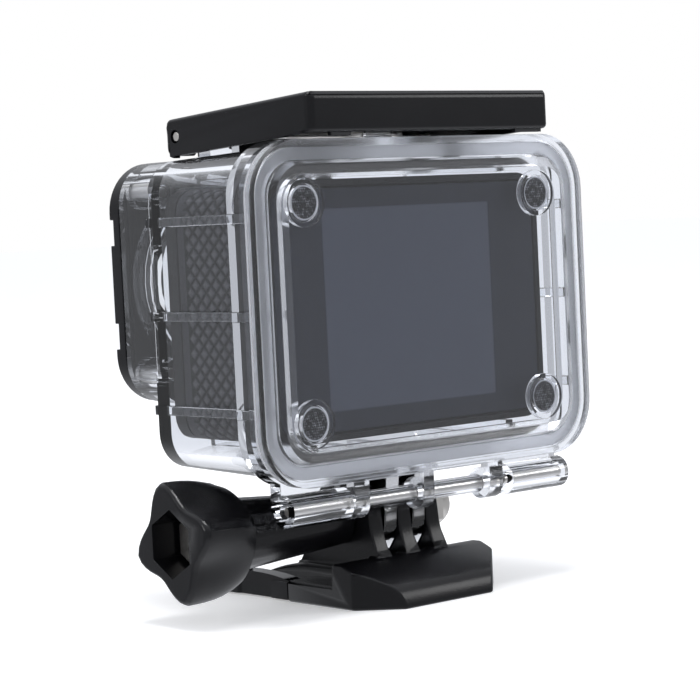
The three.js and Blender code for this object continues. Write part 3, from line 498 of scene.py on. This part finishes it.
buttons = ("shutter", "power", "up", "down")
for button in buttons:
    soft[f"{button}_plunger"] = (black, 0.2 * mm, 2)
    soft[f"{button}_seal"] = (blackRubber, 0.08 * mm, 1)
    soft[f"camera_{button}_button"] = (cover, 0.15 * mm, 2)
for node, (material, width, segments) in soft.items():
    softEdged(node, material, width, segments, clamped=node not in wideEdged)
print("pieces finished:", len(soft))


# clear ribs: rounded lips over the case's side ribs

ribShape = {
    "width": 1.5 * mm, "height": 0.8 * mm, "spacing": 15 * mm, "over": 0.05 * mm,
    "rounding": 0.32 * mm, "segments": 4, "caseSide": 2.7 * mm, "caseFront": 1.8 * mm, "flange": 3.12 * mm,
}


def makeRib(name, side, lift):
    # lift counts the ribs from the middle one
    low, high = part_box("camera_frame")
    over = ribShape["over"]
    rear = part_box("case_body")[1].y - ribShape["flange"]
    face = high.x + ribShape["caseSide"]
    half = ribShape["width"] / 2 + over
    near = Vector((face - over, low.y - ribShape["caseFront"], -half))
    far = Vector((face + ribShape["height"] + over, rear, half))
    middle = (near + far) / 2
    middle.z += (low.z + high.z) / 2 + lift * ribShape["spacing"]
    middle.x *= side
    stretch = Matrix.Diagonal((*(far - near), 1.0))
    bm = bmesh.new()
    bmesh.ops.create_cube(bm, size=1.0)
    bmesh.ops.transform(bm, matrix=Matrix.Translation(middle) @ stretch, verts=bm.verts)
    roundOff(bm, bm.edges[:], ribShape["rounding"], ribShape["segments"])
    pieceFrom(name, bm, clear, "case", slotOf("case_body"))


for number in (1, 2, 3):
    makeRib(f"case_rib_right_{number}", 1, number - 2)
    makeRib(f"case_rib_left_{number}", -1, number - 2)
print("ribs made")


# clear sleeves round the hinge pin, between the door's knuckles

sleeveShape = {
    "outer": 1.45 * mm, "inner": 0.95 * mm, "sides": 32,
    "rimOver": 1.0, "rounding": 0.15 * mm, "segments": 3,
    "left": (-11.2 * mm, 0.6 * mm), "right": (3.4 * mm, 14.4 * mm),  # start and end along the pin
}


def makeSleeve(name, fromX, toX):
    low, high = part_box("hinge_pin")
    middle = Vector(((fromX + toX) / 2, (low.y + high.y) / 2, (low.z + high.z) / 2))
    bm = bmesh.new()
    half = (toX - fromX) / 2
    outline = (("inner", -half), ("outer", -half), ("outer", half), ("inner", half))
    profile = [bm.verts.new((sleeveShape[wall], 0.0, end)) for wall, end in outline]
    edges = [bm.edges.new((profile[corner], profile[(corner + 1) % 4])) for corner in range(4)]
    bmesh.ops.spin(
        bm, geom=profile + edges, cent=(0, 0, 0), axis=(0, 0, 1), angle=2 * math.pi,
        steps=sleeveShape["sides"], use_merge=True,
    )
    roundOff(bm, edgesOver(bm, sleeveShape["rimOver"]), sleeveShape["rounding"], sleeveShape["segments"])
    turn = Matrix.Translation(middle) @ Matrix.Rotation(math.pi / 2, 4, "Y")
    bmesh.ops.transform(bm, matrix=turn, verts=bm.verts)
    pieceFrom(name, bm, clear, "door", slotOf("case_door"))


makeSleeve("hinge_sleeve_left", *sleeveShape["left"])
makeSleeve("hinge_sleeve_right", *sleeveShape["right"])
print("hinge sleeves made")


# woven pads on the inside of the door's window

padShape = {
    "sides": 48, "rim": 0.35 * mm, "sunk": 0.08 * mm, "rimOver": 1.0, "rounding": 0.1 * mm, "segments": 2,
}


def makePad(node):
    low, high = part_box(node)
    radius = (high.x - low.x) / 2
    bm = bmesh.new()
    bmesh.ops.create_cone(
        bm, cap_ends=True, segments=padShape["sides"], radius1=radius, radius2=radius, depth=high.y - low.y,
    )
    caps = [face for face in bm.faces if abs(face.normal.z) > 0.5]
    bmesh.ops.inset_individual(bm, faces=caps, thickness=padShape["rim"], depth=-padShape["sunk"])
    layer = bm.loops.layers.uv.new("weave")
    for face in bm.faces:
        for loop in face.loops:
            loop[layer].uv = (loop.vert.co.x / radius, loop.vert.co.y / radius)
    turn = Matrix.Translation((low + high) / 2) @ Matrix.Rotation(math.pi / 2, 4, "X")
    bmesh.ops.transform(bm, matrix=turn, verts=bm.verts)
    roundOff(bm, edgesOver(bm, padShape["rimOver"]), padShape["rounding"], padShape["segments"])
    pieceFrom(node + "_woven", bm, padWeave, bodyOf(node), slotOf(node), (node,))


for number in range(1, 5):
    makePad(f"door_pad_{number}")
print("pads made")


# button springs: each keeps its node's shape, unrounded, in a mesh of its own

def makeSpring(button):
    node = f"{button}_spring"
    joints = frame["record"]["behaviour"]["joints"]
    press = next(joint for joint in joints if joint["name"] == f"{button}_press")
    low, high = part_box(node)
    travel = Vector(press["axis"])
    length = abs(travel.dot(high - low))
    spring = softEdged(node, bright, 0.0)
    anchor = (low + high) / 2 + travel * length / 2
    1.0 - press["range_m"][1] / length
    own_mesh(spring)


for button in buttons:
    makeSpring(button)
print("springs made")


# camera's grip: rows of small pyramids that wrap round the corners of both sides

gripPanel = {
    "columnWidth": 2.6 * mm, "rowHeight": 2.4 * mm, "peak": 0.3 * mm,
    "fromFront": 1.8 * mm, "fromRear": 1.6 * mm, "corner": 4.5 * mm, "wrap": 0.8,
    "buttonRoom": 4.6 * mm, "lift": 0.02 * mm, "backing": 0.08 * mm,
}


def makeGripPanel(side, name):
    low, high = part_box("camera_frame")
    middleZ = (low.z + high.z) / 2
    corner = gripPanel["corner"]
    straight = (high.z - low.z) / 2 - corner
    arc = corner * math.pi / 2 * gripPanel["wrap"]
    length = 2 * (straight + arc)
    depth = (high.y - gripPanel["fromRear"]) - (low.y + gripPanel["fromFront"])
    columns = 2 * round(depth / gripPanel["columnWidth"])
    rows = 2 * round(length / gripPanel["rowHeight"])
    bm = bmesh.new()
    bmesh.ops.create_grid(bm, x_segments=columns, y_segments=rows, size=0.5)
    valleys = []
    # the peak attribute marks the pyramids' points; the grip's finish paints shade into the valleys away
    # from them
    heights = bm.verts.layers.float.new("peak")
    for knot in bm.verts:
        column = round((knot.co.x + 0.5) * columns)
        row = round((knot.co.y + 0.5) * rows)
        inner = 0 < column < columns and 0 < row < rows
        peak = gripPanel["peak"] if (column + row) % 2 == 0 and inner else 0.0
        knot[heights] = 1.0 if peak else 0.0
        if (column + row) % 2:
            valleys.append(knot)
        along = knot.co.y * length
        y = low.y + gripPanel["fromFront"] + (knot.co.x + 0.5) * depth
        angle = max(abs(along) - straight, 0.0) / corner
        flat = min(abs(along), straight)
        out = (corner + peak) * math.cos(angle)
        up = flat + (corner + peak) * math.sin(angle)
        x = high.x - corner + out + gripPanel["lift"]
        knot.co = (side * x, y, middleZ + math.copysign(up, along))
    bmesh.ops.connect_verts(bm, verts=valleys)
    if side < 0:
        # room for the two buttons in this side
        for button in ("camera_up_button", "camera_down_button"):
            near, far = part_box(button)
            spot = (near + far) / 2
            centres = {face: face.calc_center_median() for face in bm.faces}
            inside = [
                face for face, centre in centres.items()
                if math.hypot(centre.y - spot.y, centre.z - spot.z) < gripPanel["buttonRoom"]
            ]
            bmesh.ops.delete(bm, geom=inside, context="FACES")
    bmesh.ops.recalc_face_normals(bm, faces=bm.faces)
    if sum(face.normal.x * side for face in bm.faces) < 0:
        bmesh.ops.reverse_faces(bm, faces=bm.faces)
    mesh = bpy.data.meshes.new(name)
    bm.to_mesh(mesh)
    bm.free()
    mesh.materials.append(grip)
    panel = bpy.data.objects.new(name, mesh)
    bpy.context.scene.collection.objects.link(panel)
    backing = panel.modifiers.new("backing", "SOLIDIFY")
    backing.thickness = gripPanel["backing"]
    backing.offset = -1.0
    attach(panel, "case")


makeGripPanel(1, "camera_grip_right")
makeGripPanel(-1, "camera_grip_left")
print("grip panels made")


# floor, light and camera

def makeFloor(width=6.0):
    bm = bmesh.new()
    bmesh.ops.create_grid(bm, x_segments=2, y_segments=2, size=width)
    mesh = bpy.data.meshes.new("floor")
    bm.to_mesh(mesh)
    bm.free()
    finish = Finish("paleFloor", (0.92, 0.92, 0.92), 0.8, Specular_IOR_Level=0.0)
    finish.set(Emission_Color=(1.0, 1.0, 1.0), Emission_Strength=0.3)
    mesh.materials.append(finish.material)
    floor = bpy.data.objects.new("floor", mesh)
    bpy.context.scene.collection.objects.link(floor)
    floor.visible_glossy = False
    floor.visible_transmission = False


def areaLight(name, place, target, size, power):
    lamp = bpy.data.lights.new(name, "AREA")
    lamp.shape = "DISK"
    lamp.size = size
    lamp.energy = power
    light = bpy.data.objects.new(name, lamp)
    light.location = place
    light.rotation_euler = (Vector(target) - Vector(place)).to_track_quat("-Z", "Y").to_euler()
    bpy.context.scene.collection.objects.link(light)


def makeWorld(sky):
    # plain white to look at; what gloss mirrors is dim at eye level and bright overhead and underfoot
    world = bpy.data.worlds.new("studio")
    world.use_nodes = True
    tree = world.node_tree
    rays = tree.nodes.new("ShaderNodeLightPath")
    up = tree.nodes.new("ShaderNodeSeparateXYZ")
    direction = tree.nodes.new("ShaderNodeTexCoord")
    tree.links.new(direction.outputs["Generated"], up.inputs[0])
    height = Wire(tree, up.outputs["Z"]).abs().ramp(sky["dimUpTo"], sky["brightFrom"])
    seen = Wire(tree, rays.outputs["Is Camera Ray"])
    mirrored = Wire(tree, rays.outputs["Glossy Depth"]).above(0.5)
    first = mirrored * (1.0 - Wire(tree, rays.outputs["Ray Depth"]).above(1.5))
    deeper = mirrored - first
    through = Wire(tree, rays.outputs["Is Transmission Ray"]) * (1.0 - mirrored)
    other = 1.0 - (seen + mirrored + through).lesser(1.0)
    level = seen * sky["seen"] + other * sky["soft"]
    for share, name in ((through, "through"), (first, "mirror"), (deeper, "inside")):
        low, high = sky[name]
        level = level + share * (height * (high - low) + low)
    tint = tree.nodes.new("ShaderNodeMix")
    tint.data_type = "RGBA"
    plug(tree, tint.inputs["Factor"], seen)
    plug(tree, tint.inputs[6], sky["tint"])
    plug(tree, tint.inputs[7], (1.0, 1.0, 1.0))
    plug(tree, tree.nodes["Background"].inputs["Strength"], level)
    plug(tree, tree.nodes["Background"].inputs["Color"], Wire(tree, tint.outputs[2]))
    bpy.context.scene.world = world


def makeCamera(view):
    azimuth = math.radians(view["azimuth"])
    pitch = math.radians(view["pitch"])
    roll = math.radians(view["roll"])
    level = math.cos(pitch)
    look = Vector((-math.sin(azimuth) * level, -math.cos(azimuth) * level, -math.sin(pitch)))
    side = Vector((-math.cos(azimuth), math.sin(azimuth), 0.0))
    up = side.cross(look)
    right = math.cos(roll) * side + math.sin(roll) * up
    top = -math.sin(roll) * side + math.cos(roll) * up
    data = bpy.data.cameras.new("camera")
    data.lens = view["lens"]
    data.sensor_width = 36.0
    data.clip_end = 50.0
    camera = bpy.data.objects.new("camera", data)
    low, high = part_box("case_door")
    window = Vector((0.0, high.y, view["windowHeight"]))
    turn = Matrix((right, top, -look)).transposed().to_4x4()
    camera.matrix_world = Matrix.Translation(window + Vector(view["fromWindow"])) @ turn
    bpy.context.scene.collection.objects.link(camera)
    bpy.context.scene.camera = camera


makeFloor()
makeWorld({
    "seen": 1.0, "soft": 0.8, "through": (0.97, 1.0), "mirror": (0.1, 1.4), "inside": (0.58, 1.4),
    "dimUpTo": 0.2, "brightFrom": 0.85, "tint": (0.93, 0.95, 1.0),
})
for name, place, size, power in (
    ("topLight", (0.05, 0.1, 0.8), 0.3, 2.5),
    ("leftLight", (0.75, -0.1, 0.35), 0.25, 1.2),
    ("rightLight", (-0.6, 0.55, 0.35), 0.25, 0.8),
):
    areaLight(name, place, (0, 0, 45 * mm), size, power)
makeCamera({
    "azimuth": 40.711, "pitch": 3.283, "roll": -2.804, "lens": 119.9,
    "windowHeight": 47.7 * mm, "fromWindow": (0.252917, 0.272174, 0.014686),
})
bpy.context.scene.view_settings.view_transform = "Standard"
print("stage, light and camera set")
